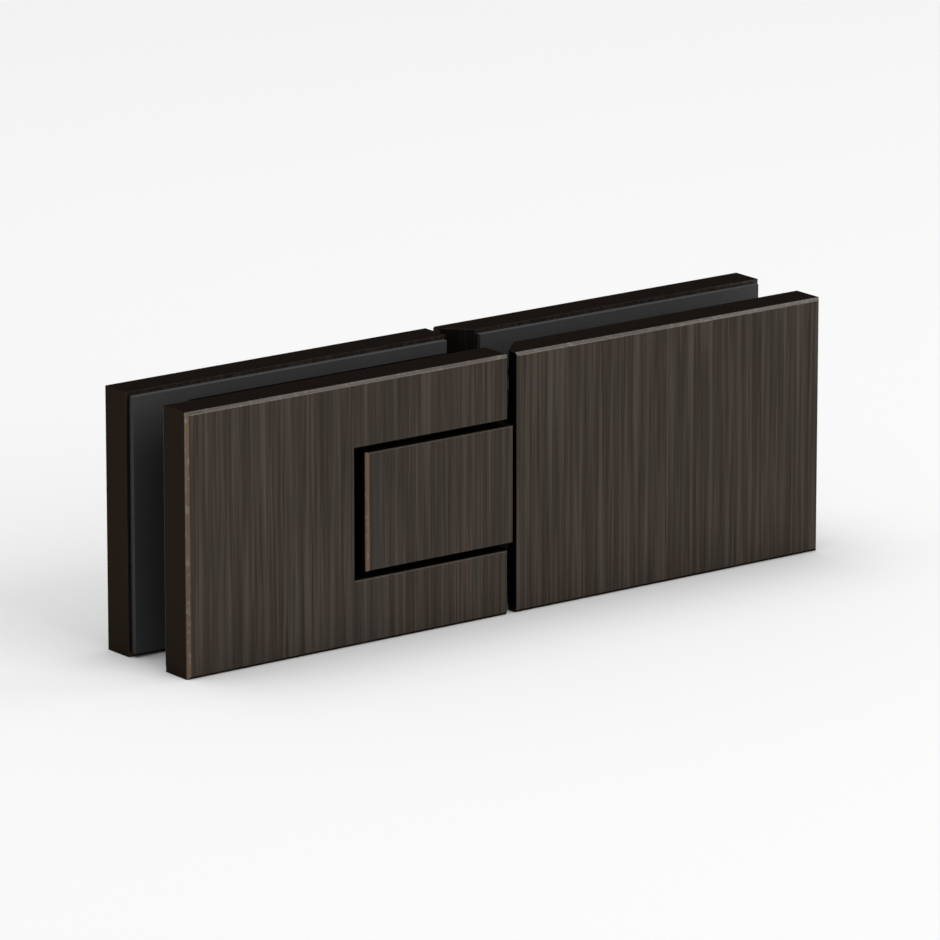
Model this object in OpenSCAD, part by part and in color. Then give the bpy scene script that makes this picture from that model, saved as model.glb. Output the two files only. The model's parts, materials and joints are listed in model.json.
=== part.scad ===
// Lift hinge for a swing door: two clamped leaves, a block that turns on a fixed pin,
// and a helical cam that raises the door leaf as it opens.
// X runs along the leaves, +Y to the rear, Z up. The origin is the middle of the gap
// between the leaves, halfway up, in the middle plane of the clamped sheet.

/* [Leaves] */
// Width of each plate
plate_w = 61; // [58:1:80]
// Height of each plate
plate_h = 42; // [40:1:60]
// Thickness of each plate
plate_t = 6; // [4.5:0.5:7]
// Gap between the fixed plates and the door plates
leaf_gap = 1.75; // [1.5:0.25:2.25]
// Chamfer on the plates' outer edges and on the block's end
edge_chamfer = 0.5; // [0.3:0.1:1]
// Fine chamfer that breaks the edges at the seam, the notch and the block
edge_break = 0.2; // [0.1:0.05:0.3]

/* [Clamping] */
// Thickness of the sheet that each leaf clamps
sheet_t = 8; // [8:1:12]
// Thickness of each gasket
gasket_t = 1; // [0.5:0.25:1.5]
// Step from a plate's edge in to its gasket
gasket_inset = 0.6; // [0.3:0.1:1.5]
// Room between a gasket and the body inside its cut-out
cutout_room = 0.8; // [0.5:0.1:1]

/* [Notch and block] */
// Width of the notch in the fixed plates
notch_w = 29.5; // [28.5:0.5:32]
// Height of the notch in the fixed plates
notch_h = 21; // [20:0.5:23]
// Gap above and below the block
block_gap = 1; // [0.7:0.1:1.2]
// Gap between the block and the end of the notch
block_end_gap = 2.2; // [2:0.1:2.6]
// How far the block stands past the edge of the fixed plates
block_overhang = 1.1; // [0.6:0.1:1.2]
// Thickness of the block's roof and floor
block_wall = 3; // [2.5:0.25:3.5]
// Distance from the block's end to the pin's axis
pivot_inset = 13.5; // [12.5:0.25:13.75]

/* [Pivot] */
// Diameter of the pivot pin
pin_d = 6; // [5:0.5:6.5]
// Running clearance round the pin
pin_play = 0.05; // [0.02:0.01:0.09]
// Wall of the bushes in the block
bush_wall = 1.5; // [1:0.25:2]
// Width of the thrust washers' rings
washer_ring = 1.8; // [1.4:0.1:1.9]
// How far the pin's ends lie inside the lugs' outer faces
pin_recess = 0.4; // [0.2:0.1:1]

/* [Lift] */
// Rise of the door leaf over the full swing
lift = 4; // [3:0.25:4.5]
// Angle of the full swing
swing = 90; // [80:5:100]
// Angle that each of the cam's two ramps covers
ramp_angle = 105; // [100:1:120]
// Thickness of the cam under its ramps
cam_base = 1; // [0.8:0.1:1.5]
// Wall of the cam round the pin
cam_wall = 2.9; // [2.5:0.1:3]
// Clearance between the cam and its follower
follower_play = 0.2; // [0.15:0.05:0.3]
// Wall of the lifter's eye
eye_wall = 2.2; // [1.5:0.1:2.2]
// Clearance of the lifter in the block
slide_play = 0.12; // [0.08:0.01:0.2]

/* [Bodies between the plates] */
// Width of the pin carrier's back
carrier_w = 18; // [16:0.5:19]
// Width of the lifter's body
lifter_w = 34; // [28:1:40]
// Height of sheet that the plates cover above and below the pin carrier
carrier_cover = 3.5; // [3:0.25:5]
// Height of sheet that the plates cover above and below the lifter
lifter_cover = 8; // [6:0.5:9]
// Radius of the bodies' corners
body_round = 5; // [3:0.5:6]

/* [Fasteners] */
// Thread diameter of the clamp screws
clamp_d = 6; // [5:0.5:6]
// Distance from the clamp screws to the plates' upper and lower edges
clamp_edge = 11; // [9:0.5:12]
// Thread diameter of the carrier and lifter screws
body_screw_d = 4; // [3:0.5:4]
// Spacing of the carrier's and the lifter's screws
body_screw_spacing = 9; // [9:0.5:10]
// Depth of the countersunk heads below the faces that hold them
head_recess = 0.2; // [0.1:0.05:0.4]
// Height of the straight rim of the countersunk heads
head_rim = 0.4; // [0.3:0.05:0.6]
// Clearance round that rim
head_room = 0.15; // [0.1:0.05:0.25]
// Thread diameter of the grub screws that lock the pin
grub_d = 3; // [3:0.5:4]
// Depth of the threaded holes in the front plates
thread_depth = 4; // [3:0.25:4]

/* [Hidden] */
$fn = 64;

// Colours of the finishes
bronze = [0.24, 0.215, 0.195];
steel = [0.62, 0.61, 0.6];
dark_steel = [0.36, 0.35, 0.34];
acetal = [0.9, 0.89, 0.85];
rubber = [0.16, 0.16, 0.165];

// Room that turning pieces keep from fixed ones, and the overshoot of every cut
sweep_room = 0.3;
cut = 1;

// Depth of the hinge
half_gap = sheet_t / 2 + gasket_t;
half_depth = half_gap + plate_t;

// Leaves, notch, block and pin axis along X
fixed_edge = -leaf_gap / 2;
door_edge = leaf_gap / 2;
fixed_end = fixed_edge - plate_w;
door_end = door_edge + plate_w;
notch_x = fixed_edge - notch_w;
block_left = notch_x + block_end_gap;
block_right = fixed_edge + block_overhang;
pivot_x = block_left + pivot_inset;
block_h = notch_h - 2 * block_gap;
chamber_h = block_h - 2 * block_wall;

// Radius that the edges of the block's end sweep, and what makes room for it
block_sweep = max(
    norm([pivot_inset, half_depth - edge_chamfer]), norm([pivot_inset - edge_chamfer, half_depth])
);
notch_reach = pivot_x - notch_x - sweep_room;
notch_relief = max(0.3, sqrt(max(0, block_sweep ^ 2 - notch_reach ^ 2)) - half_gap);
carrier_face = pivot_x - block_sweep - sweep_room;
carrier_end = carrier_face - carrier_w;

// The door plates' inner near edges are cut back until they pass the ends of the fixed arms
arm_reach = fixed_edge - pivot_x + sweep_room;
door_reach = door_edge - pivot_x;
door_relief = max(0.5, sqrt(half_depth ^ 2 + arm_reach ^ 2 - door_reach ^ 2) - half_gap);

// Pin, bushes and washers
pin_r = pin_d / 2;
run_r = pin_r + pin_play;
bush_r = run_r + bush_wall;
lug_top = plate_h / 2 - carrier_cover;
grub_z = (notch_h / 2 + lug_top) / 2;
pin_half = lug_top - pin_recess;
washer_t = block_gap - pin_play;

// Cam, follower and the lifter's eye
cam_r = pin_r + cam_wall;
eye_r = cam_r + follower_play;
tongue_r = eye_r + eye_wall;
chamber_r = tongue_r + slide_play;
lead = lift / swing;
cam_z = slide_play - chamber_h / 2;
tongue_z = slide_play - chamber_h / 2;
tongue_h = chamber_h - lift - 2 * slide_play;
ramp_step = 3;
ramp_margin = 4;

// Lifter between the door plates
neck_half = half_gap - 0.5;
shoulder_x = block_right - 1.5;
lifter_x = door_edge + door_relief + sweep_room;
lifter_end = lifter_x + lifter_w;
lifter_h = plate_h - 2 * lifter_cover;

// Screw places and sizes
thread_room = 0.05;
screw_tip_room = 0.4;
clamp_spacing = plate_h - 2 * clamp_edge;
clamp_inset = 6;
body_screw_inset = 5.5;
fixed_clamp_x = carrier_end + clamp_inset;
carrier_screw_x = carrier_face - body_screw_inset;
door_clamp_x = lifter_end - clamp_inset;
lifter_screw_x = lifter_x + body_screw_inset;
head_ratio = 1.75;
socket_ratio = 0.77;

// Plates

// Front plate from the seam to its far end, with its inner edge at the seam cut back by relief
module plate_blank(seam_x, far_x, relief) {
    c = edge_chamfer;
    h = plate_h / 2;
    out = sign(far_x - seam_x);
    plan = [
        [seam_x, edge_break - half_depth], [seam_x + out * edge_break, -half_depth],
        [far_x - out * c, -half_depth], [far_x, c - half_depth], [far_x, -half_gap],
        [seam_x + out * relief, -half_gap], [seam_x, -half_gap - relief]
    ];
    side = [
        [-half_depth, c - h], [c - half_depth, -h], [-half_gap, -h],
        [-half_gap, h], [c - half_depth, h], [-half_depth, h - c]
    ];
    intersection() {
        upright(-h, h) polygon(plan);
        along_x(min(seam_x, far_x), max(seam_x, far_x)) polygon(side);
    }
}

// An outline seen from above, raised from z0 to z1
module upright(z0, z1) {
    translate([0, 0, z0]) linear_extrude(z1 - z0) children();
}

// An outline in Y and Z, drawn out from x0 to x1
module along_x(x0, x1) {
    translate([x0, 0, 0]) rotate([90, 0, 90]) linear_extrude(x1 - x0) children();
}

// An outline in X and Z, drawn out from y0 to y1
module along_y(y0, y1) {
    translate([0, y1, 0]) rotate([90, 0, 0]) linear_extrude(y1 - y0) children();
}

// Notch for the block: the edges of its mouth are broken, its end is relieved inside
module notch_cut() {
    c = edge_break;
    h = notch_h / 2;
    outer = -half_depth - cut;
    inner = cut - half_gap;
    plan = [
        [fixed_edge + cut, outer], [notch_x - c - cut, outer], [notch_x, c - half_depth],
        [notch_x, -half_gap - notch_relief], [notch_x - notch_relief - cut, inner],
        [fixed_edge + cut, inner]
    ];
    side = [
        [outer, -h - c - cut], [c - half_depth, -h], [inner, -h],
        [inner, h], [c - half_depth, h], [outer, h + c + cut]
    ];
    intersection() {
        upright(-plate_h, plate_h) polygon(plan);
        along_x(notch_x - 2 * plate_t, fixed_edge + cut) polygon(side);
    }
}

module rear() {
    mirror([0, 1, 0]) children();
}

// Two places at x, one above the other
module pair(x, spacing) {
    for (z = [-0.5, 0.5]) translate([x, 0, z * spacing]) children();
}

// Screws

function head_r(d) = head_ratio * d / 2;
function head_h(d) = head_rim + head_r(d) - d / 2;

// Countersunk screw whose head lies below a face that looks to the rear at y, its tip at tip_y
module csk_screw(d, y, tip_y) {
    top = y - head_recess;
    tip = tip_y - top;
    translate([0, top, 0]) rotate([-90, 0, 0]) difference() {
        rotate_extrude() polygon([
            [0, 0], [head_r(d), 0], [head_r(d), -head_rim], [d / 2, -head_h(d)],
            [d / 2, tip + d / 8], [3 * d / 8, tip], [0, tip]
        ]);
        translate([0, 0, -0.55 * d]) cylinder(d = socket_ratio * d, h = d, $fn = 6);
    }
}

// Clearance hole with the countersink for such a screw, open to tip_y
module csk_hole(d, y, tip_y) {
    r = d / 2 + thread_room;
    seat = head_r(d) + thread_room;
    mouth = head_r(d) + head_room;
    floor_z = -head_recess - head_rim;
    translate([0, y, 0]) rotate([-90, 0, 0]) rotate_extrude() polygon([
        [0, cut], [mouth, cut], [mouth, floor_z], [seat, floor_z],
        [r, floor_z + r - seat], [r, tip_y - y], [0, tip_y - y]
    ]);
}

// Blind threaded hole from a front plate's inner face
module blind_hole(d) {
    along_y(-half_gap - thread_depth, cut - half_gap) circle(d = d + 2 * thread_room);
}

// Straight hole through a body between the plates
module cross_hole(d) {
    along_y(-half_gap - cut, half_gap + cut) circle(d = d + 2 * thread_room);
}

// Fixed leaf

module fixed_front_plate() {
    color(bronze) difference() {
        plate_blank(fixed_edge, fixed_end, edge_break);
        notch_cut();
        pair(fixed_clamp_x, clamp_spacing) blind_hole(clamp_d);
        pair(carrier_screw_x, body_screw_spacing) blind_hole(body_screw_d);
    }
}

module fixed_rear_plate() {
    color(bronze) difference() {
        rear() plate_blank(fixed_edge, fixed_end, edge_break);
        rear() notch_cut();
        pair(fixed_clamp_x, clamp_spacing) csk_hole(clamp_d, half_depth, half_gap - cut);
    }
}

// C-shaped body between the fixed plates: a back, and a lug above and below the block
module pin_carrier() {
    color(bronze) difference() {
        union() {
            along_y(-half_gap, half_gap) end_rounded(carrier_face, carrier_end, 2 * lug_top, body_round);
            upright(notch_h / 2, lug_top) lug_outline();
            upright(-lug_top, -notch_h / 2) lug_outline();
        }
        translate([pivot_x, 0, -lug_top - cut]) cylinder(r = run_r, h = 2 * (lug_top + cut));
        pair(fixed_clamp_x, clamp_spacing) cross_hole(clamp_d);
        pair(carrier_screw_x, body_screw_spacing) csk_hole(body_screw_d, half_gap, -half_gap - cut);
        pair(pivot_x, 2 * grub_z) along_y(0, half_gap + cut) circle(d = grub_d + 2 * thread_room);
    }
}

// Rectangle from near_x to far_x, h across, with its two far corners rounded
module end_rounded(near_x, far_x, h, r) {
    arc_x = near_x < far_x ? far_x - r : far_x + r;
    translate([min(near_x, arc_x), -h / 2]) square([abs(arc_x - near_x), h]);
    translate([min(near_x, far_x), r - h / 2]) square([abs(far_x - near_x), h - 2 * r]);
    for (side = [-1, 1]) translate([arc_x, side * (h / 2 - r)]) circle(r);
}

module lug_outline() {
    translate([carrier_face - cut, -half_gap]) square([pivot_x - carrier_face + cut, 2 * half_gap]);
    translate([pivot_x, 0]) circle(half_gap);
}

// Gasket on a front plate, with the corner of the sheet's cut-out left open
module front_gasket(x0, x1, open_x0, open_x1, open_h) {
    h = plate_h / 2 - gasket_inset;
    along_y(-half_gap, gasket_t - half_gap) difference() {
        translate([x0, -h]) square([x1 - x0, 2 * h]);
        translate([open_x0, -open_h / 2]) square([open_x1 - open_x0, open_h]);
    }
}

module fixed_gasket() {
    color(rubber) front_gasket(
        fixed_end + gasket_inset, fixed_edge - gasket_inset,
        carrier_end - cutout_room, fixed_edge + cut, 2 * (lug_top + cutout_room)
    );
}

module fixed_front_gasket() {
    fixed_gasket();
}

module fixed_rear_gasket() {
    rear() fixed_gasket();
}

module fixed_clamp_screws() {
    color(steel) pair(fixed_clamp_x, clamp_spacing)
        csk_screw(clamp_d, half_depth, screw_tip_room - half_gap - thread_depth);
}

module carrier_screws() {
    color(steel) pair(carrier_screw_x, body_screw_spacing)
        csk_screw(body_screw_d, half_gap, screw_tip_room - half_gap - thread_depth);
}

// Pin with chamfered ends
module pivot_pin() {
    c = pin_r / 5;
    color(steel) translate([pivot_x, 0, 0]) rotate_extrude() polygon([
        [0, -pin_half], [pin_r - c, -pin_half], [pin_r, c - pin_half],
        [pin_r, pin_half - c], [pin_r - c, pin_half], [0, pin_half]
    ]);
}

// Grub screws with hexagon sockets, tight against the pin
module pin_grub_screws() {
    outer = half_gap - screw_tip_room;
    socket = 0.6 * (outer - pin_r);
    color(dark_steel) pair(pivot_x, 2 * grub_z) difference() {
        along_y(0, outer) circle(d = grub_d);
        along_y(outer - socket, half_gap + cut) circle(d = grub_d / 2, $fn = 6);
        cylinder(r = pin_r, h = 2 * grub_d, center = true);
    }
}

// Ramp of a cam: a wedge that rises by rise over angle, anticlockwise from +X
module ramp(r, angle, base, rise) {
    steps = ceil(angle / ramp_step);
    inner = pin_r / 2;
    outer = 1.1 * r;
    points = [
        for (i = [0 : steps])
            let (a = angle * i / steps, top = base + rise * i / steps)
                each [
                    [inner * cos(a), inner * sin(a), 0], [outer * cos(a), outer * sin(a), 0],
                    [outer * cos(a), outer * sin(a), top], [inner * cos(a), inner * sin(a), top]
                ]
    ];
    sides = [
        for (i = [0 : steps - 1], k = [0 : 3])
            let (next = (k + 1) % 4)
                [4 * i + next, 4 * i + 4 + next, 4 * i + 4 + k, 4 * i + k]
    ];
    first = [3, 2, 1, 0];
    last = [for (k = [0 : 3]) 4 * steps + k];
    polyhedron(points, concat([first], sides, [last]));
}

// Two ramps that climb clockwise, each longer by margin at both ends and higher by room
module ramp_pair(r, margin, room) {
    angle = ramp_angle + 2 * margin;
    start = cam_base + room - lead * margin;
    for (turn = [0, 180]) rotate([0, 0, turn + margin]) mirror([0, 1, 0])
        ramp(r, angle, start, lead * angle);
}

// Cam on the pin: a ring with two helical ramps
module lift_cam() {
    color(dark_steel) translate([pivot_x, 0, cam_z]) difference() {
        intersection() {
            union() {
                cylinder(r = cam_r, h = cam_base);
                ramp_pair(cam_r, 0, 0);
            }
            cylinder(r = cam_r, h = chamber_h);
        }
        translate([0, 0, -cut]) cylinder(r = pin_r, h = chamber_h);
    }
}

// Turning block

// Ring on the pin from z0 to z1
module pin_ring(r, z0, z1) {
    translate([pivot_x, 0, z0]) difference() {
        cylinder(r = r, h = z1 - z0);
        translate([0, 0, -cut]) cylinder(r = run_r, h = z1 - z0 + 2 * cut);
    }
}

module lower_thrust_washer() {
    color(acetal) pin_ring(run_r + washer_ring, -notch_h / 2, washer_t - notch_h / 2);
}

module upper_thrust_washer() {
    color(acetal) pin_ring(run_r + washer_ring, block_h / 2, block_h / 2 + washer_t);
}

module upper_bush() {
    color(acetal) pin_ring(bush_r, chamber_h / 2, block_h / 2);
}

module lower_bush() {
    color(acetal) pin_ring(bush_r, -block_h / 2, -chamber_h / 2);
}

// Block with a chamber for the lifter's tongue, open at the door leaf's end
module pivot_block() {
    h = block_h / 2;
    color(bronze) difference() {
        intersection() {
            upright(-h, h) block_plan(edge_chamfer, edge_break);
            along_x(block_left, block_right) broken_oblong(half_depth, h, edge_break);
        }
        upright(-chamber_h / 2, chamber_h / 2) tongue_plan(chamber_r, block_right + cut);
        translate([pivot_x, 0, -block_h]) cylinder(r = bush_r, h = 2 * block_h);
    }
}

// Block seen from above, with its edges cut by c at the notch's end and by b at the seam
module block_plan(c, b) {
    y = half_depth;
    polygon([
        [block_left, c - y], [block_left + c, -y], [block_right - b, -y], [block_right, b - y],
        [block_right, y - b], [block_right - b, y], [block_left + c, y], [block_left, y - c]
    ]);
}

// Oblong of half sizes w and h, with its corners cut by b
module broken_oblong(w, h, b) {
    polygon([
        [-w, b - h], [b - w, -h], [w - b, -h], [w, b - h],
        [w, h - b], [w - b, h], [b - w, h], [-w, h - b]
    ]);
}

// Round-ended bar from the pin's axis to end_x
module tongue_plan(r, end_x) {
    translate([pivot_x, 0]) circle(r);
    translate([pivot_x, -r]) square([end_x - pivot_x, 2 * r]);
}

// Door leaf

module door_front_plate() {
    color(bronze) difference() {
        plate_blank(door_edge, door_end, door_relief);
        pair(door_clamp_x, clamp_spacing) blind_hole(clamp_d);
        pair(lifter_screw_x, body_screw_spacing) blind_hole(body_screw_d);
    }
}

module door_rear_plate() {
    color(bronze) difference() {
        rear() plate_blank(door_edge, door_end, door_relief);
        pair(door_clamp_x, clamp_spacing) csk_hole(clamp_d, half_depth, half_gap - cut);
    }
}

// Lifter: an eye round the cam, a neck out of the block and a body between the door plates
module lifter() {
    color(dark_steel) difference() {
        union() {
            upright(tongue_z, tongue_z + tongue_h) {
                tongue_plan(tongue_r, shoulder_x);
                translate([shoulder_x - cut, -neck_half])
                    square([lifter_x - shoulder_x + 2 * cut, 2 * neck_half]);
            }
            along_y(-half_gap, half_gap) end_rounded(lifter_x, lifter_end, lifter_h, body_round);
        }
        translate([pivot_x, 0, -chamber_h]) cylinder(r = eye_r, h = 2 * chamber_h);
        pair(door_clamp_x, clamp_spacing) cross_hole(clamp_d);
        pair(lifter_screw_x, body_screw_spacing) csk_hole(body_screw_d, half_gap, -half_gap - cut);
    }
}

// Follower pressed into the lifter's eye, with the cam's ramps cut from its underside
module cam_follower() {
    base_z = cam_z + cam_base + follower_play;
    color(acetal) difference() {
        translate([pivot_x, 0, base_z]) cylinder(r = eye_r, h = tongue_z + tongue_h - base_z);
        translate([pivot_x, 0, cam_z]) ramp_pair(eye_r, ramp_margin, follower_play);
        translate([pivot_x, 0, -chamber_h]) cylinder(r = run_r, h = 2 * chamber_h);
    }
}

module door_gasket() {
    color(rubber) front_gasket(
        lifter_x, door_end - gasket_inset,
        lifter_x - cut, lifter_end + cutout_room, lifter_h + 2 * cutout_room
    );
}

module door_front_gasket() {
    door_gasket();
}

module door_rear_gasket() {
    rear() door_gasket();
}

module door_clamp_screws() {
    color(steel) pair(door_clamp_x, clamp_spacing)
        csk_screw(clamp_d, half_depth, screw_tip_room - half_gap - thread_depth);
}

module lifter_screws() {
    color(steel) pair(lifter_screw_x, body_screw_spacing)
        csk_screw(body_screw_d, half_gap, screw_tip_room - half_gap - thread_depth);
}

fixed_front_plate();
fixed_rear_plate();
pin_carrier();
fixed_front_gasket();
fixed_rear_gasket();
fixed_clamp_screws();
carrier_screws();
pivot_pin();
pin_grub_screws();
lift_cam();
lower_thrust_washer();
pivot_block();
upper_bush();
lower_bush();
upper_thrust_washer();
door_front_plate();
door_rear_plate();
lifter();
cam_follower();
door_front_gasket();
door_rear_gasket();
door_clamp_screws();
lifter_screws();
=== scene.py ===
# %% [markdown]
# A lift hinge for a swing door, in brushed dark bronze. Two leaves clamp a sheet each. A block
# turns in a notch of the fixed leaf, and a hidden cam raises the door leaf as it swings.
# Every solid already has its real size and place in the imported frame, so this lesson only
# dresses it: fine rounded edges, finishes, light and a camera. The frame comes first, and its
# box is kept, because the dressed hinge has to stay inside it.

# %% Load the frame
import json
import math

import bmesh
import bpy
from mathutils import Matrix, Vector


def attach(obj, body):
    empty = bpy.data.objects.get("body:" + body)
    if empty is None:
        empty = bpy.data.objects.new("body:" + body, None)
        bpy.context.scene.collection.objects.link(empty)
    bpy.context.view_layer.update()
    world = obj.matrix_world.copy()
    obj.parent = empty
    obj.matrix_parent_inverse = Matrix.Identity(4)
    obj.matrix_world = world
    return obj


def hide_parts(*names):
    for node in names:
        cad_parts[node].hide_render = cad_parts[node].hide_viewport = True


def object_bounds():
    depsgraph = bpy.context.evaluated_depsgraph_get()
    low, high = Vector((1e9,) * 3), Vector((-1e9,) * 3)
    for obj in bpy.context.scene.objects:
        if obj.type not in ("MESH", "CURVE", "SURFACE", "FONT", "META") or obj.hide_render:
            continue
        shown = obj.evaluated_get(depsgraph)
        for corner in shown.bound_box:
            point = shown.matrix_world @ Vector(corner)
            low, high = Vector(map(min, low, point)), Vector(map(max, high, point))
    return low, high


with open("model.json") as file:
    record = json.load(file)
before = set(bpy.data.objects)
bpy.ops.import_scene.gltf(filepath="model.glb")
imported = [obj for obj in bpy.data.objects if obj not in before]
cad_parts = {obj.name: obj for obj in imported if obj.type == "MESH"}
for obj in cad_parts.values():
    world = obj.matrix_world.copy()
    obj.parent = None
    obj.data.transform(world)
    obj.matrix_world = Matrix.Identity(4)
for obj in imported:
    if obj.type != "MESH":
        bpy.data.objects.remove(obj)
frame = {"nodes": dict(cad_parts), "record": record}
cad_low, cad_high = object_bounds()
MM = 0.001
print("solids:", len(frame["nodes"]), "box in mm:", [round(v / MM, 2) for v in cad_high - cad_low])

# %% [markdown]
# The hinge is seen from the left and a little from above, with a long lens, so its upright
# edges stay parallel. A camera could be placed by hand, but an angle and a distance are easier
# to read and to change. The view aims at the middle of the hinge.

# %% Camera
VIEW_AZIMUTH = math.radians(-37)
VIEW_ELEVATION = math.radians(14.8)
VIEW_DISTANCE = 1.25
LENS_MM = 305
NEAREST_SEEN = 0.01
hinge_middle = (cad_low + cad_high) / 2
view_from = Vector((
    math.sin(VIEW_AZIMUTH) * math.cos(VIEW_ELEVATION),
    -math.cos(VIEW_AZIMUTH) * math.cos(VIEW_ELEVATION),
    math.sin(VIEW_ELEVATION),
))
camera_data = bpy.data.cameras.new("camera")
camera_data.lens = LENS_MM
camera_data.clip_start = NEAREST_SEEN
camera = bpy.data.objects.new("camera", camera_data)
camera.location = hinge_middle + VIEW_DISTANCE * view_from
camera.rotation_euler = (-view_from).to_track_quat("-Z", "Y").to_euler()
bpy.context.scene.collection.objects.link(camera)
bpy.context.scene.camera = camera
print("camera at", [round(v, 3) for v in camera.location], "lens", LENS_MM, "mm")

# %% [markdown]
# The hinge stands on a plain white floor, on the lower edges of its plates. A curved backdrop
# is common, but the floor alone fills the view at this angle. Colours are shown as written by
# the Standard view transform.

# %% Floor
FLOOR_HALF = 4.0
FLOOR_COLOUR = (0.92, 0.92, 0.92, 1)
FLOOR_ROUGHNESS = 0.9
FLOOR_GLOSS = 0.1
bpy.context.scene.view_settings.view_transform = "Standard"
floor_mesh = bpy.data.meshes.new("floor")
floor_bm = bmesh.new()
bmesh.ops.create_grid(floor_bm, x_segments=1, y_segments=1, size=FLOOR_HALF)
bmesh.ops.translate(floor_bm, verts=floor_bm.verts, vec=(0, 0, cad_low.z))
floor_bm.to_mesh(floor_mesh)
floor_bm.free()
floor = bpy.data.objects.new("floor", floor_mesh)
bpy.context.scene.collection.objects.link(floor)
floor_paint = bpy.data.materials.new("floor_paint")
floor_paint.use_nodes = True
floor_shader = floor_paint.node_tree.nodes["Principled BSDF"]
floor_shader.inputs["Base Color"].default_value = FLOOR_COLOUR
floor_shader.inputs["Roughness"].default_value = FLOOR_ROUGHNESS
floor_shader.inputs["Specular IOR Level"].default_value = FLOOR_GLOSS
floor_mesh.materials.append(floor_paint)
print("floor at", round(cad_low.z / MM, 2), "mm")

# %% [markdown]
# Metal shows what is around it, so the light is a few large soft panels: a wide one in front,
# which the brushed faces mirror, a weaker one at the right, and one overhead for the shadow.
# A pale world fills in the rest. Small lamps would leave hard spots on the brushed faces.

# %% Light
PANELS = {
    "front_panel": {"place": (0.5, -1.8, 1.1), "size": 1.6, "watts": 22},
    "right_panel": {"place": (1.6, -0.3, 0.9), "size": 1.0, "watts": 5},
    "top_panel": {"place": (-0.2, 0.3, 1.9), "size": 1.4, "watts": 17},
}
WORLD_COLOUR = (1, 1, 1, 1)
WORLD_STRENGTH = 0.4


def soft_panel(name, place, size, watts):
    data = bpy.data.lights.new(name, "AREA")
    data.shape = "SQUARE"
    data.size = size
    data.energy = watts
    panel = bpy.data.objects.new(name, data)
    panel.location = place
    panel.rotation_euler = (hinge_middle - panel.location).to_track_quat("-Z", "Y").to_euler()
    bpy.context.scene.collection.objects.link(panel)


for panel_name, panel_values in PANELS.items():
    soft_panel(panel_name, **panel_values)
world = bpy.data.worlds.new("studio")
world.use_nodes = True
background = world.node_tree.nodes["Background"]
background.inputs["Color"].default_value = WORLD_COLOUR
background.inputs["Strength"].default_value = WORLD_STRENGTH
bpy.context.scene.world = world

# %% [markdown]
# The finishes are made of shader nodes. The editor shows them as boxes and wires. In a script
# each box takes several lines, so short helpers add a node, join it to others and hand back
# its output. A group of nodes gets named sockets, because several finishes share it.

# %% Helpers for nodes
def add_group(name, inputs, outputs):
    group = bpy.data.node_groups.new(name, "ShaderNodeTree")
    for socket, kind, value in inputs:
        made = group.interface.new_socket(socket, in_out="INPUT", socket_type=kind)
        if value is not None:
            made.default_value = value
    for socket, kind in outputs:
        group.interface.new_socket(socket, in_out="OUTPUT", socket_type=kind)
    return group, group.nodes.new("NodeGroupInput"), group.nodes.new("NodeGroupOutput")


def add_node(tree, kind, settings=None, **values):
    node = tree.nodes.new(kind)
    for name, value in (settings or {}).items():
        setattr(node, name, value)
    for name, value in values.items():
        node.inputs[name.replace("_", " ")].default_value = value
    return node


def feed(tree, socket, term):
    if isinstance(term, bpy.types.NodeSocket):
        tree.links.new(term, socket)
    else:
        socket.default_value = term


def maths(tree, operation, *terms):
    node = add_node(tree, "ShaderNodeMath", {"operation": operation})
    for index, term in enumerate(terms):
        feed(tree, node.inputs[index], term)
    return node.outputs["Value"]


def vector_maths(tree, operation, *terms, output="Vector"):
    node = add_node(tree, "ShaderNodeVectorMath", {"operation": operation})
    for index, term in enumerate(terms):
        tree.links.new(term, node.inputs[index])
    return node.outputs[output]


def axes(tree, *terms):
    node = tree.nodes.new("ShaderNodeCombineXYZ")
    for index, term in enumerate(terms):
        feed(tree, node.inputs[index], term)
    return node.outputs["Vector"]


def noise(tree, position, detail, roughness=0.5):
    node = add_node(tree, "ShaderNodeTexNoise", Scale=1.0, Detail=detail, Roughness=roughness)
    tree.links.new(position, node.inputs["Vector"])
    return node.outputs["Fac"]


helpers = (add_group, add_node, feed, maths, vector_maths, axes, noise)
print("helpers:", [helper.__name__ for helper in helpers])

# %% [markdown]
# Brushing leaves fine parallel lines. They run upright on the plates' faces, as the brush
# went, and lengthwise on the narrow top and bottom edges. A picture could hold them, but noise
# that is squeezed across the lines and drawn out along them has no seams and no resolution.
# It is one node group, because the bronze and the hardened steel both use it.

# %% Brushed lines as a node group
UPWARD = 0.6
LINE_DETAIL = 2.0
lines_group, lines_in, lines_out = add_group(
    "brushed lines",
    [
        ("Position", "NodeSocketVector", None),
        ("Facing", "NodeSocketVector", None),
        ("Across", "NodeSocketFloat", 0.2 * MM),
        ("Along", "NodeSocketFloat", 20 * MM),
    ],
    [("Lines", "NodeSocketFloat")],
)
across = maths(lines_group, "DIVIDE", 1.0, lines_in.outputs["Across"])
along = maths(lines_group, "DIVIDE", 1.0, lines_in.outputs["Along"])
facing = lines_group.nodes.new("ShaderNodeSeparateXYZ")
lines_group.links.new(lines_in.outputs["Facing"], facing.inputs[0])
slope = maths(lines_group, "ABSOLUTE", facing.outputs["Z"])
faces_up = maths(lines_group, "GREATER_THAN", slope, UPWARD)
upright_scale = axes(lines_group, across, across, along)
lengthwise_scale = axes(lines_group, along, across, across)
pick = add_node(lines_group, "ShaderNodeMix", {"data_type": "FLOAT"})
lines_group.links.new(faces_up, pick.inputs["Factor"])
for socket, scale in (("A", upright_scale), ("B", lengthwise_scale)):
    squeezed = vector_maths(lines_group, "MULTIPLY", lines_in.outputs["Position"], scale)
    lines_group.links.new(noise(lines_group, squeezed, LINE_DETAIL), pick.inputs[socket])
lines_group.links.new(pick.outputs[0], lines_out.inputs["Lines"])
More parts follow.
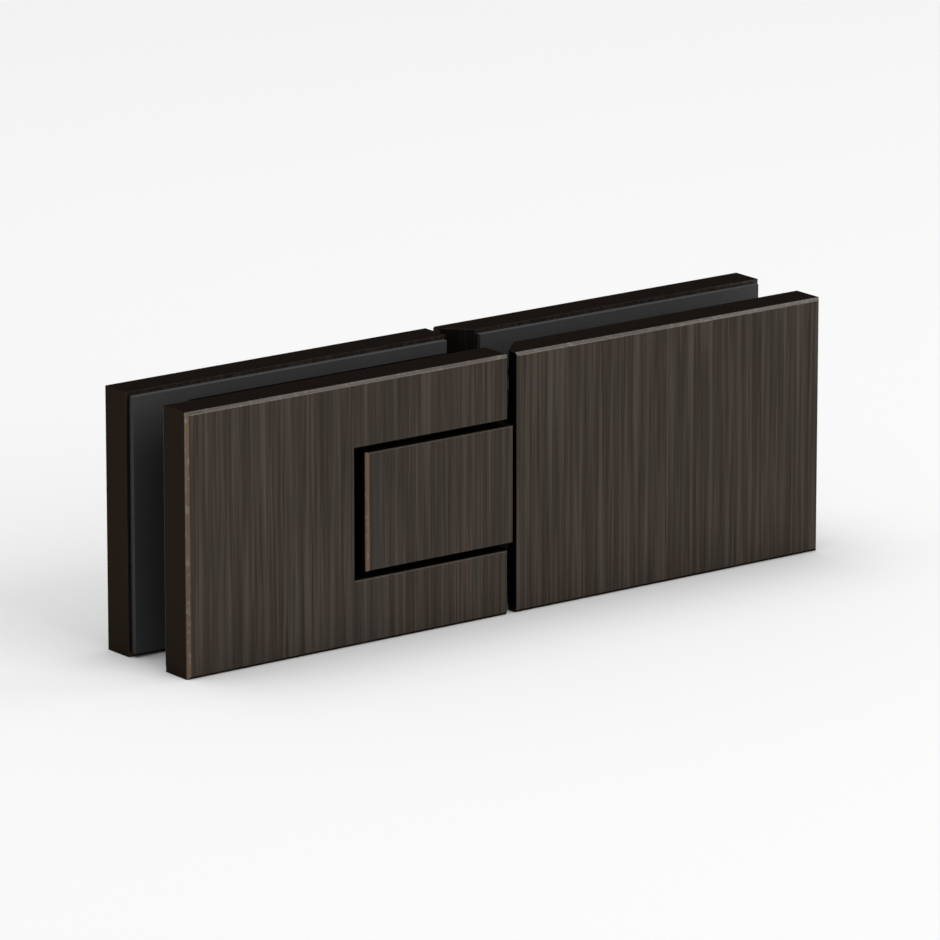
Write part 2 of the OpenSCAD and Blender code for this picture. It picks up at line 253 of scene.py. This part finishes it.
print("group:", lines_group.name, "nodes:", len(lines_group.nodes))

# %% [markdown]
# Each finish below is a Principled BSDF with noise or lines in its colour, roughness and bump.
# A few more helpers keep the links short to read. Colours are written as they look on screen
# and turned into the linear values that the shader needs. The Mix node has a set of sockets
# for each kind of data, and its colour sockets are reached by their numbers.

# %% Helpers for finishes
MIX_FIRST = 6
MIX_SECOND = 7
MIX_RESULT = 2
NOISE_SPAN = (0.3, 0.7)


def screen_colour(red, green, blue):
    def linear(level):
        level = level / 255
        return level / 12.92 if level <= 0.04045 else ((level + 0.055) / 1.055) ** 2.4

    return (linear(red), linear(green), linear(blue), 1.0)


def new_finish(name, metallic, roughness):
    material = bpy.data.materials.new(name)
    material.use_nodes = True
    tree = material.node_tree
    shader = tree.nodes["Principled BSDF"]
    shader.inputs["Metallic"].default_value = metallic
    shader.inputs["Roughness"].default_value = roughness
    place = tree.nodes.new("ShaderNodeTexCoord")
    return material, tree, shader, place


def brushed(tree, place, across, along):
    node = add_node(tree, "ShaderNodeGroup", {"node_tree": lines_group}, Across=across, Along=along)
    tree.links.new(place.outputs["Object"], node.inputs["Position"])
    tree.links.new(place.outputs["Normal"], node.inputs["Facing"])
    return node.outputs["Lines"]


def clouds(tree, place, size, detail, roughness=0.5):
    spread = add_node(tree, "ShaderNodeMapping", Scale=(1 / size,) * 3)
    tree.links.new(place.outputs["Object"], spread.inputs["Vector"])
    return noise(tree, spread.outputs["Vector"], detail, roughness)


def stretch(tree, value, low, high, new_low=0.0, new_high=1.0):
    node = add_node(
        tree, "ShaderNodeMapRange", {"clamp": True},
        From_Min=low, From_Max=high, To_Min=new_low, To_Max=new_high,
    )
    tree.links.new(value, node.inputs["Value"])
    return node.outputs["Result"]


def colour_mix(tree, share, first, second):
    node = add_node(tree, "ShaderNodeMix", {"data_type": "RGBA"})
    tree.links.new(share, node.inputs["Factor"])
    feed(tree, node.inputs[MIX_FIRST], first)
    feed(tree, node.inputs[MIX_SECOND], second)
    return node.outputs[MIX_RESULT]


def bump(tree, shader, height, depth):
    node = add_node(tree, "ShaderNodeBump", Strength=1.0, Distance=depth)
    tree.links.new(height, node.inputs["Height"])
    tree.links.new(node.outputs["Normal"], shader.inputs["Normal"])


print("middle grey in linear light:", round(screen_colour(128, 128, 128)[0], 3))

# %% [markdown]
# The plates and the block are bronze, darkened and then brushed. Brushing takes some of the
# dark film off the broad faces in streaks. The narrow sides and tops are darker: partly the
# full film they keep, and partly painted shade for how dark they look under this light. Three
# sets of lines make the streaks: fine ones everywhere, and broad and warm ones here and there.
# A name that ends in LEVELS says between which two levels of its input an effect comes in,
# and, where it has four numbers, from how much to how much.

# %% Streaks on the bronze faces
BRONZE_DARK = screen_colour(52, 47, 43)
BRONZE_FACE = screen_colour(64, 58, 53)
BRONZE_BARE = screen_colour(86, 79, 73)
BRONZE_WARM = screen_colour(86, 74, 64)
FINE_LINES = {"across": 0.14 * MM, "along": 14 * MM}
BROAD_STREAKS = {"across": 1.0 * MM, "along": 50 * MM}
WARM_STREAKS = {"across": 0.6 * MM, "along": 30 * MM}
FACE_LEVELS = (0.34, 0.58)
BARE_LEVELS = (0.46, 0.7, 0.0, 0.65)
WARM_LEVELS = (0.56, 0.7, 0.0, 0.55)


def streaked_face(tree, fine, broad, warm):
    face = colour_mix(tree, stretch(tree, fine, *FACE_LEVELS), BRONZE_DARK, BRONZE_FACE)
    face = colour_mix(tree, stretch(tree, broad, *BARE_LEVELS), face, BRONZE_BARE)
    return colour_mix(tree, stretch(tree, warm, *WARM_LEVELS), face, BRONZE_WARM)


print("fine lines in mm:", {name: round(size / MM, 2) for name, size in FINE_LINES.items()})

# %% [markdown]
# Along the edges the colour is lighter: partly metal that the brush bares, and partly a
# painted highlight for the light that the narrow chamfers catch. It is brown on the upright
# edges and greyer on those that look up, which is a painted reflection of the pale sky over
# them, with pale specks at random along them as painted glints. Edges that look down stay
# dark, as painted shade. The object's own normal tells these apart, and an attribute on the
# meshes, set further down, marks the edges.

# %% Rubbed edges of the bronze, with painted highlight
# Painted highlight, reflection and glints: these edge colours paint the light the chamfers catch, partly
# over real wear; edges that look down stay dark as painted shade.
EDGE_ATTRIBUTE = "bare_and_highlit_edge"
EDGE_BROWN = screen_colour(118, 99, 83)
EDGE_REFLECTION_GREY = screen_colour(118, 113, 108)
EDGE_GLINT_SPECK = screen_colour(146, 140, 134)
GLINT_SPECK_SIZE = 1.0 * MM
REFLECTION_GREY_LEVELS = (0.2, 0.6)
GLINT_SPECK_LEVELS = (0.54, 0.72, 0.0, 0.75)
WEAR_AND_HIGHLIGHT_LEVELS = (0.35, 0.6, 0.6, 0.95)
NOT_DOWN_SHADE_LEVELS = (-0.6, -0.2)


def rubbed_and_highlight_colour(tree, place, upward):
    bare_and_highlit = colour_mix(tree, stretch(tree, upward, *REFLECTION_GREY_LEVELS), EDGE_BROWN, EDGE_REFLECTION_GREY)
    glint_specks = clouds(tree, place, GLINT_SPECK_SIZE, detail=2.0)
    return colour_mix(tree, stretch(tree, glint_specks, *GLINT_SPECK_LEVELS), bare_and_highlit, EDGE_GLINT_SPECK)


# Edges that look down are left out of the lighter colour: painted shade.
def rubbed_and_highlight_share(tree, warm, upward):
    edge = add_node(tree, "ShaderNodeAttribute", {"attribute_name": EDGE_ATTRIBUTE})
    worn_and_highlit = maths(tree, "MULTIPLY", edge.outputs["Fac"], stretch(tree, warm, *WEAR_AND_HIGHLIGHT_LEVELS))
    return maths(tree, "MULTIPLY", worn_and_highlit, stretch(tree, upward, *NOT_DOWN_SHADE_LEVELS))


print("edge mark:", EDGE_ATTRIBUTE)

# %% [markdown]
# The finish itself puts face, darkened sides (film and painted shade) and edges (wear and
# painted highlight) together. A layered paint could do that by masks drawn by hand, but here
# every mask comes from the shape, so it fits all the pieces.

# %% Brushed dark bronze
# Painted shade: faces that look neither front nor back take this darker colour, partly their unbrushed
# film and partly the shade they show under this light.
BRONZE_FILM_AND_SHADE = screen_colour(46, 40, 36)
FILM_LEVELS = (0.4, 0.65, 0.0, 0.45)
SIDE_FILM_SHADE_LEVELS = (0.6, 0.85, 1.0, 0.0)
BRONZE_ROUGHNESS = (0.34, 0.5)
BRONZE_TINT = (0.35, 0.33, 0.31, 1)
LINE_DEPTH = 0.012 * MM


def dark_bronze():
    material, tree, shader, place = new_finish("brushed_dark_bronze", metallic=1.0, roughness=0.42)
    fine = brushed(tree, place, **FINE_LINES)
    broad = brushed(tree, place, **BROAD_STREAKS)
    warm = brushed(tree, place, **WARM_STREAKS)
    normal = tree.nodes.new("ShaderNodeSeparateXYZ")
    tree.links.new(place.outputs["Normal"], normal.inputs[0])
    upward = normal.outputs["Z"]
    face = streaked_face(tree, fine, broad, warm)
    # Painted shade on the sides and tops, over their unbrushed film.
    film_and_shade = colour_mix(tree, stretch(tree, fine, *FILM_LEVELS), BRONZE_FILM_AND_SHADE, BRONZE_DARK)
    side_film_and_shade = stretch(tree, maths(tree, "ABSOLUTE", normal.outputs["Y"]), *SIDE_FILM_SHADE_LEVELS)
    colour = colour_mix(tree, side_film_and_shade, face, film_and_shade)
    # Lighter edges: partly wear, partly painted highlight, reflection and glints.
    bare_and_highlit = rubbed_and_highlight_colour(tree, place, upward)
    colour = colour_mix(tree, rubbed_and_highlight_share(tree, warm, upward), colour, bare_and_highlit)
    tree.links.new(colour, shader.inputs["Base Color"])
    roughness = stretch(tree, fine, *NOISE_SPAN, *BRONZE_ROUGHNESS)
    tree.links.new(roughness, shader.inputs["Roughness"])
    bump(tree, shader, fine, LINE_DEPTH)
    shader.inputs["Specular Tint"].default_value = BRONZE_TINT
    return material


bronze = dark_bronze()
print("finish:", bronze.name, "nodes:", len(bronze.node_tree.nodes))

# %% [markdown]
# The screws and the pin are turned, and the tool leaves rings round each piece's own axis. A
# Wave texture draws its rings round the origin only, so a second node group works out how far
# a point lies from the axis and along it, and makes noise of those two. The axis of each screw
# is an attribute on its mesh, set where the pieces are made.

# %% Turned lines as a node group
AXIS_ATTRIBUTE = "turning_axis"
rings_group, rings_in, rings_out = add_group(
    "turned lines",
    [
        ("Position", "NodeSocketVector", None),
        ("Centre", "NodeSocketVector", None),
        ("Axis", "NodeSocketVector", (0.0, 1.0, 0.0)),
        ("Spacing", "NodeSocketFloat", 0.1 * MM),
    ],
    [("Lines", "NodeSocketFloat")],
)
axis = rings_in.outputs["Axis"]
spacing = rings_in.outputs["Spacing"]
from_centre = vector_maths(
    rings_group, "SUBTRACT", rings_in.outputs["Position"], rings_in.outputs["Centre"]
)
to_side = vector_maths(rings_group, "CROSS_PRODUCT", from_centre, axis)
side_length = vector_maths(rings_group, "LENGTH", to_side, output="Value")
along_axis = vector_maths(rings_group, "DOT_PRODUCT", from_centre, axis, output="Value")
ring_place = axes(
    rings_group,
    maths(rings_group, "DIVIDE", side_length, spacing),
    maths(rings_group, "DIVIDE", along_axis, spacing),
    0.0,
)
rings_group.links.new(noise(rings_group, ring_place, LINE_DETAIL), rings_out.inputs["Lines"])
print("group:", rings_group.name, "nodes:", len(rings_group.nodes))

# %% [markdown]
# Screws and pin are stainless steel, paler than the other steel here. The screws turn round
# the depth of the hinge and the pin round its height, so there is one finish for each.

# %% Turned stainless steel
STAINLESS_DARK = screen_colour(128, 127, 125)
STAINLESS_LIGHT = screen_colour(178, 176, 173)
STAINLESS_ROUGHNESS = (0.24, 0.38)
RING_SPACING = 0.12 * MM
RING_DEPTH = 0.012 * MM


def turned_steel(name, axis):
    material, tree, shader, place = new_finish(name, metallic=1.0, roughness=0.3)
    rings = add_node(tree, "ShaderNodeGroup", {"node_tree": rings_group}, Axis=axis, Spacing=RING_SPACING)
    centre = add_node(tree, "ShaderNodeAttribute", {"attribute_name": AXIS_ATTRIBUTE})
    tree.links.new(place.outputs["Object"], rings.inputs["Position"])
    tree.links.new(centre.outputs["Vector"], rings.inputs["Centre"])
    lines = rings.outputs["Lines"]
    colour = colour_mix(tree, stretch(tree, lines, *NOISE_SPAN), STAINLESS_DARK, STAINLESS_LIGHT)
    tree.links.new(colour, shader.inputs["Base Color"])
    roughness = stretch(tree, lines, *NOISE_SPAN, *STAINLESS_ROUGHNESS)
    tree.links.new(roughness, shader.inputs["Roughness"])
    bump(tree, shader, lines, RING_DEPTH)
    return material


screw_steel = turned_steel("turned_screw_steel", axis=(0, 1, 0))
pin_steel = turned_steel("turned_pin_steel", axis=(0, 0, 1))
print("finishes:", screw_steel.name, pin_steel.name)

# %% [markdown]
# The lifter, the cam and the grub screws are hardened steel, which is darker and a little
# cloudy. The brushed lines give it its grain, and a soft noise gives the clouds.

# %% Hardened steel
HARDENED_DARK = screen_colour(72, 72, 74)
HARDENED_LIGHT = screen_colour(98, 97, 96)
HARDENED_ROUGHNESS = (0.36, 0.5)
GRAIN_LINES = {"across": 0.1 * MM, "along": 6 * MM}
GRAIN_DEPTH = 0.006 * MM
GRAIN_LEVELS = (0.35, 0.65)
CLOUD_SIZE = 5 * MM
CLOUD_SHARE = 0.3


def hardened_steel():
    material, tree, shader, place = new_finish("hardened_steel", metallic=1.0, roughness=0.42)
    fine = brushed(tree, place, **GRAIN_LINES)
    cloud = clouds(tree, place, CLOUD_SIZE, detail=3.0)
    fine_share = maths(tree, "MULTIPLY", fine, 1 - CLOUD_SHARE)
    grain = maths(tree, "MULTIPLY_ADD", cloud, CLOUD_SHARE, fine_share)
    colour = colour_mix(tree, stretch(tree, grain, *GRAIN_LEVELS), HARDENED_DARK, HARDENED_LIGHT)
    tree.links.new(colour, shader.inputs["Base Color"])
    roughness = stretch(tree, grain, *NOISE_SPAN, *HARDENED_ROUGHNESS)
    tree.links.new(roughness, shader.inputs["Roughness"])
    bump(tree, shader, fine, GRAIN_DEPTH)
    return material


hardened = hardened_steel()
print("finish:", hardened.name)

# %% [markdown]
# The bushes, the washers and the follower are white acetal, a smooth engineering plastic. The
# gaskets are dark rubber with the faint grain of a cut sheet. Neither is metal, so a soft
# noise in colour, roughness and bump is enough to keep them from looking like paint.

# %% Acetal and rubber
SMOOTHER = 0.06
ROUGHER = 0.08


def grained(name, dark, light, roughness, grain, depth):
    material, tree, shader, place = new_finish(name, metallic=0.0, roughness=roughness)
    speck = clouds(tree, place, grain, detail=5.0, roughness=0.6)
    colour = colour_mix(tree, stretch(tree, speck, *GRAIN_LEVELS), dark, light)
    tree.links.new(colour, shader.inputs["Base Color"])
    uneven = stretch(tree, speck, *NOISE_SPAN, roughness - SMOOTHER, roughness + ROUGHER)
    tree.links.new(uneven, shader.inputs["Roughness"])
    bump(tree, shader, speck, depth)
    return material


acetal = grained(
    "white_acetal",
    dark=screen_colour(222, 219, 209),
    light=screen_colour(236, 234, 226),
    roughness=0.42,
    grain=0.8 * MM,
    depth=0.004 * MM,
)
rubber = grained(
    "gasket_rubber",
    dark=screen_colour(38, 38, 39),
    light=screen_colour(52, 52, 53),
    roughness=0.72,
    grain=0.25 * MM,
    depth=0.01 * MM,
)
print("finishes:", acetal.name, rubber.name)

# %% [markdown]
# Two marks are kept on the meshes. One says how light each face of an edge is painted, for
# wear and for a painted highlight: the plates' own chamfers fully, the narrow breaks at the notch
# and the seam only faintly. The other gives every point the middle of its own piece, because
# two screws share one mesh and each has its own turning axis.

# %% Marks for edges and turning axes
CHAMFER_LEAN = (0.3, 0.95)
WIDEST_CHAMFER = 1.5 * MM
WIDEST_BREAK = 0.4 * MM
FAINT = 0.15


# How light an edge face is painted: partly wear, partly painted highlight.
def edge_bareness_and_highlight(face):
    least, most = CHAMFER_LEAN
    if not least < abs(face.normal.y) < most:
        return 0.0
    width = face.calc_area() / max(edge.calc_length() for edge in face.edges)
    if width > WIDEST_CHAMFER:
        return 0.0
    return 1.0 if width > WIDEST_BREAK else FAINT


def mark_turning_axis(bm):
    centre = bm.verts.layers.float_vector.new(AXIS_ATTRIBUTE)
    waiting = set(bm.verts)
    while waiting:
        piece = [waiting.pop()]
        for vert in piece:
            joined = {edge.other_vert(vert) for edge in vert.link_edges} & waiting
            waiting -= joined
            piece.extend(joined)
        places = [vert.co for vert in piece]
        middle = [(min(axis) + max(axis)) / 2 for axis in zip(*places)]
        for vert in piece:
            vert[centre] = middle


print("widest chamfer and break in mm:", round(WIDEST_CHAMFER / MM, 2), round(WIDEST_BREAK / MM, 2))

# %% [markdown]
# A real edge is never perfectly sharp: a fine round catches the light and draws the piece. The
# solids come as loose triangles, so a copy is merged and its flat faces are joined again
# before its sharp edges are bevelled. A Bevel modifier could do that too, but the operator
# hands back the new faces, and they take the mark of the faces beside them.

# %% Copies with fine rounded edges
MERGE_DISTANCE = 0.0005 * MM
FLAT_ANGLE = math.radians(0.6)
SHARP_ANGLE = math.radians(25)
ROUND_SEGMENTS = 2
node_bodies = {
    node: body for body, nodes in frame["record"]["behaviour"]["bodies"].items() for node in nodes
}


def round_edges(bm, radius, bare_highlit_edges):
    mark = bm.faces.layers.float.new(EDGE_ATTRIBUTE)
    for face in bm.faces:
        face[mark] = edge_bareness_and_highlight(face) if bare_highlit_edges else 0.0
    sharp = [e for e in bm.edges if e.is_manifold and e.calc_face_angle() > SHARP_ANGLE]
    made = bmesh.ops.bevel(
        bm, geom=sharp, offset=radius, affect="EDGES", segments=ROUND_SEGMENTS, profile=0.5,
        material=-1, clamp_overlap=True,
    )
    rounds = set(made["faces"])
    # The new rounds take the painted highlight of the faces beside them.
    if bare_highlit_edges:
        for face in rounds:
            beside = {other for edge in face.edges for other in edge.link_faces} - rounds
            face[mark] = max([FAINT] + [other[mark] for other in beside])
    for face in bm.faces:
        face.smooth = True


def rounded_copy(node, radius, finish, bare_highlit_edges=False):
    mesh = frame["nodes"][node].data.copy()
    bm = bmesh.new()
    bm.from_mesh(mesh)
    bmesh.ops.remove_doubles(bm, verts=bm.verts, dist=MERGE_DISTANCE)
    bmesh.ops.dissolve_limit(
        bm, angle_limit=FLAT_ANGLE, use_dissolve_boundaries=False, verts=bm.verts, edges=bm.edges
    )
    round_edges(bm, radius, bare_highlit_edges)
    mark_turning_axis(bm)
    bm.to_mesh(mesh)
    bm.free()
    mesh.materials.clear()
    mesh.materials.append(finish)
    piece = bpy.data.objects.new(node + "_piece", mesh)
    bpy.context.scene.collection.objects.link(piece)
    even = piece.modifiers.new("even_shading", "WEIGHTED_NORMAL")
    even.keep_sharp = True
    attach(piece, node_bodies[node])
    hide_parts(node)
    print(piece.name, "faces:", len(piece.data.polygons))


# %% [markdown]
# The plates and the block are the pieces that show most. Their broken edges are in the solids,
# so the round on them is only a hair wide, and they alone have rubbed edges with a painted highlight.

# %% Plates and block
PLATE_ROUND = 0.06 * MM
PLATES = ["fixed_front_plate", "fixed_rear_plate", "door_front_plate", "door_rear_plate"]
for node in PLATES + ["pivot_block"]:
    rounded_copy(node, PLATE_ROUND, bronze, bare_highlit_edges=True)

# %% [markdown]
# The bodies between the plates, the gaskets, the screws, the pin, the washers and the bushes
# get the same treatment, with a radius that fits how each is made: milled, cut from sheet or
# turned.

# %% Bodies, gaskets, screws and bushes
MILLED = 0.25 * MM
CUT_FROM_SHEET = 0.12 * MM
TURNED = 0.12 * MM
TURNED_SMALL = 0.08 * MM
TURNED_BUSH = 0.1 * MM
ROUNDED = {
    "pin_carrier": (MILLED, bronze),
    "lifter": (MILLED, hardened),
    "fixed_front_gasket": (CUT_FROM_SHEET, rubber),
    "fixed_rear_gasket": (CUT_FROM_SHEET, rubber),
    "door_front_gasket": (CUT_FROM_SHEET, rubber),
    "door_rear_gasket": (CUT_FROM_SHEET, rubber),
    "fixed_clamp_screws": (TURNED, screw_steel),
    "door_clamp_screws": (TURNED, screw_steel),
    "carrier_screws": (TURNED_SMALL, screw_steel),
    "lifter_screws": (TURNED_SMALL, screw_steel),
    "pivot_pin": (TURNED, pin_steel),
    "pin_grub_screws": (TURNED_SMALL, hardened),
    "lower_thrust_washer": (TURNED_SMALL, acetal),
    "upper_thrust_washer": (TURNED_SMALL, acetal),
    "upper_bush": (TURNED_BUSH, acetal),
    "lower_bush": (TURNED_BUSH, acetal),
}
for node, (radius, finish) in ROUNDED.items():
    rounded_copy(node, radius, finish)

# %% [markdown]
# The cam and its follower lie inside the block. Their helical ramps are strips of narrow
# faces, which a bevel could crumple, so they keep their solids and only take a finish.

# %% Cam and follower
KEPT = {
    "lift_cam": hardened,
    "cam_follower": acetal,
}
for node, finish in KEPT.items():
    mesh = frame["nodes"][node].data
    mesh.materials.clear()
    mesh.materials.append(finish)
print("kept as solids:", sorted(KEPT))
